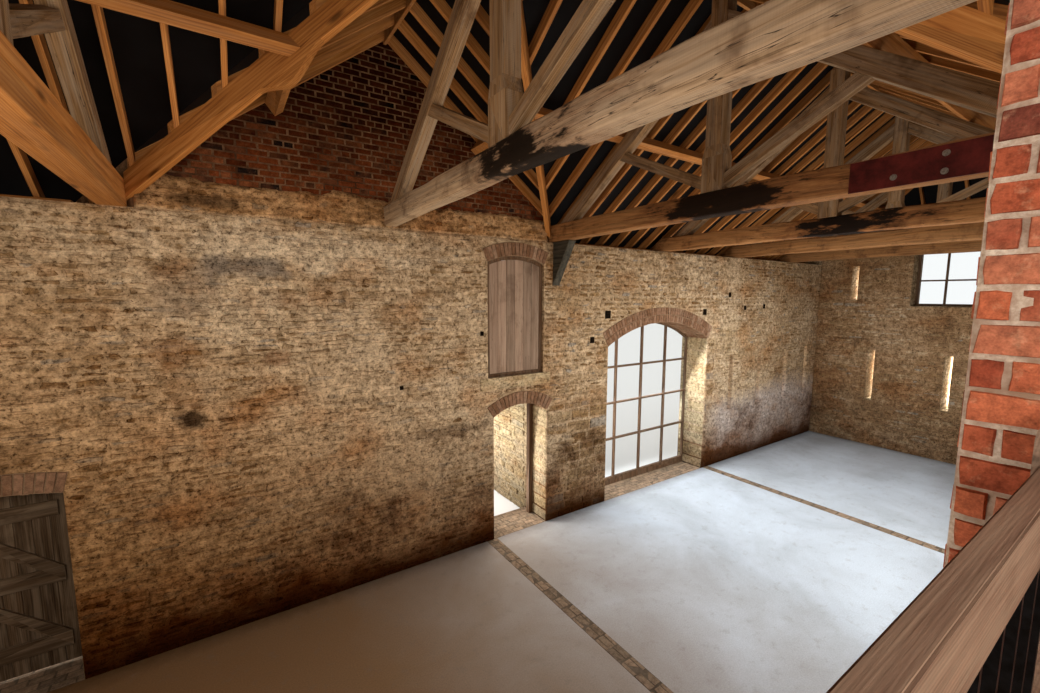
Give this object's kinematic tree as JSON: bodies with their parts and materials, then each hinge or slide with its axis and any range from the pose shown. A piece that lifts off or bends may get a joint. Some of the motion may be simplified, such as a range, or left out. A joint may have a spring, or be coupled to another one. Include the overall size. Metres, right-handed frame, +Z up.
{
  "type": "stone barn",
  "caption": "Long stone barn with half-hipped tiled roof, king-post trusses, brick cross gable, galleried wing, glazed cart openings and a hinged plank door.",
  "frame": {"origin": "centre of the whole plan at ground level, under the walls", "axes": "+X along the barn to the east end, +Y to the north side with the plank door, +Z up"},
  "size_m": [27.62, 12.56, 8.0709],
  "materials": {
    "stone": "rough limewashed rubble stone",
    "brick": "rough red brick",
    "floor": "worn pale screed",
    "old_oak": "rough, dark with age",
    "new_pine": "sawn, matt",
    "dark_iron": "black, satin",
    "painted_steel": "dull red paint",
    "roof_tile": "matt fired clay",
    "door_board": "rough boards, weathered",
    "loft_board": "pale weathered boards",
    "frame_wood": "brown, matt",
    "glass": "clear"
  },
  "bodies": {
    "barn": {"brick_arches": "brick", "brick_gables": "brick", "brick_pier": "brick", "cart_glass": "glass", "cart_screens": "frame_wood", "cross_rafters": "new_pine", "cross_roof_east": "roof_tile", "cross_roof_west": "roof_tile", "door_frames": "frame_wood", "end_walls": "stone", "end_window_frames": "frame_wood", "end_window_glass": "glass", "floor_brick_strips": "brick", "floor_slabs": "floor", "gallery_balusters": "dark_iron", "gallery_beams": "new_pine", "gallery_boards": "new_pine", "gallery_handrails": "new_pine", "gallery_joists": "new_pine", "half_hip_roofs": "roof_tile", "hip_rafters": "new_pine", "hip_short_rafters": "new_pine", "king_posts": "old_oak", "knee_bracket": "old_oak", "loft_door": "loft_board", "loft_door_sill": "stone", "main_rafters": "new_pine", "main_roof_north": "roof_tile", "main_roof_south": "roof_tile", "north_wall": "stone", "oak_tie_beams": "old_oak", "pine_tie_beam": "new_pine", "plank_door_pins": "dark_iron", "principal_rafters": "old_oak", "purlins": "new_pine", "ridge_boards": "new_pine", "ridge_tiles": "roof_tile", "south_wall": "stone", "steel_plate": "painted_steel", "thresholds": "brick", "truss_struts": "old_oak", "valley_beams": "old_oak", "wall_plates": "new_pine", "walls_over_openings": "stone", "wing_end_wall": "stone", "wing_floor": "floor", "wing_side_walls": "stone", "yard_wall": "stone"},
    "plank_door": {"plank_door_boards": "door_board", "plank_door_ledges": "door_board", "plank_door_straps": "dark_iron"}
  },
  "joints": [
    {"name": "plank_door_hinge", "type": "hinge", "parent": "barn", "child": "plank_door", "pos_m": [-3.619, 4.032, 1.19], "axis": [0, 0, -1], "range_deg": [0, 100]}
  ]
}
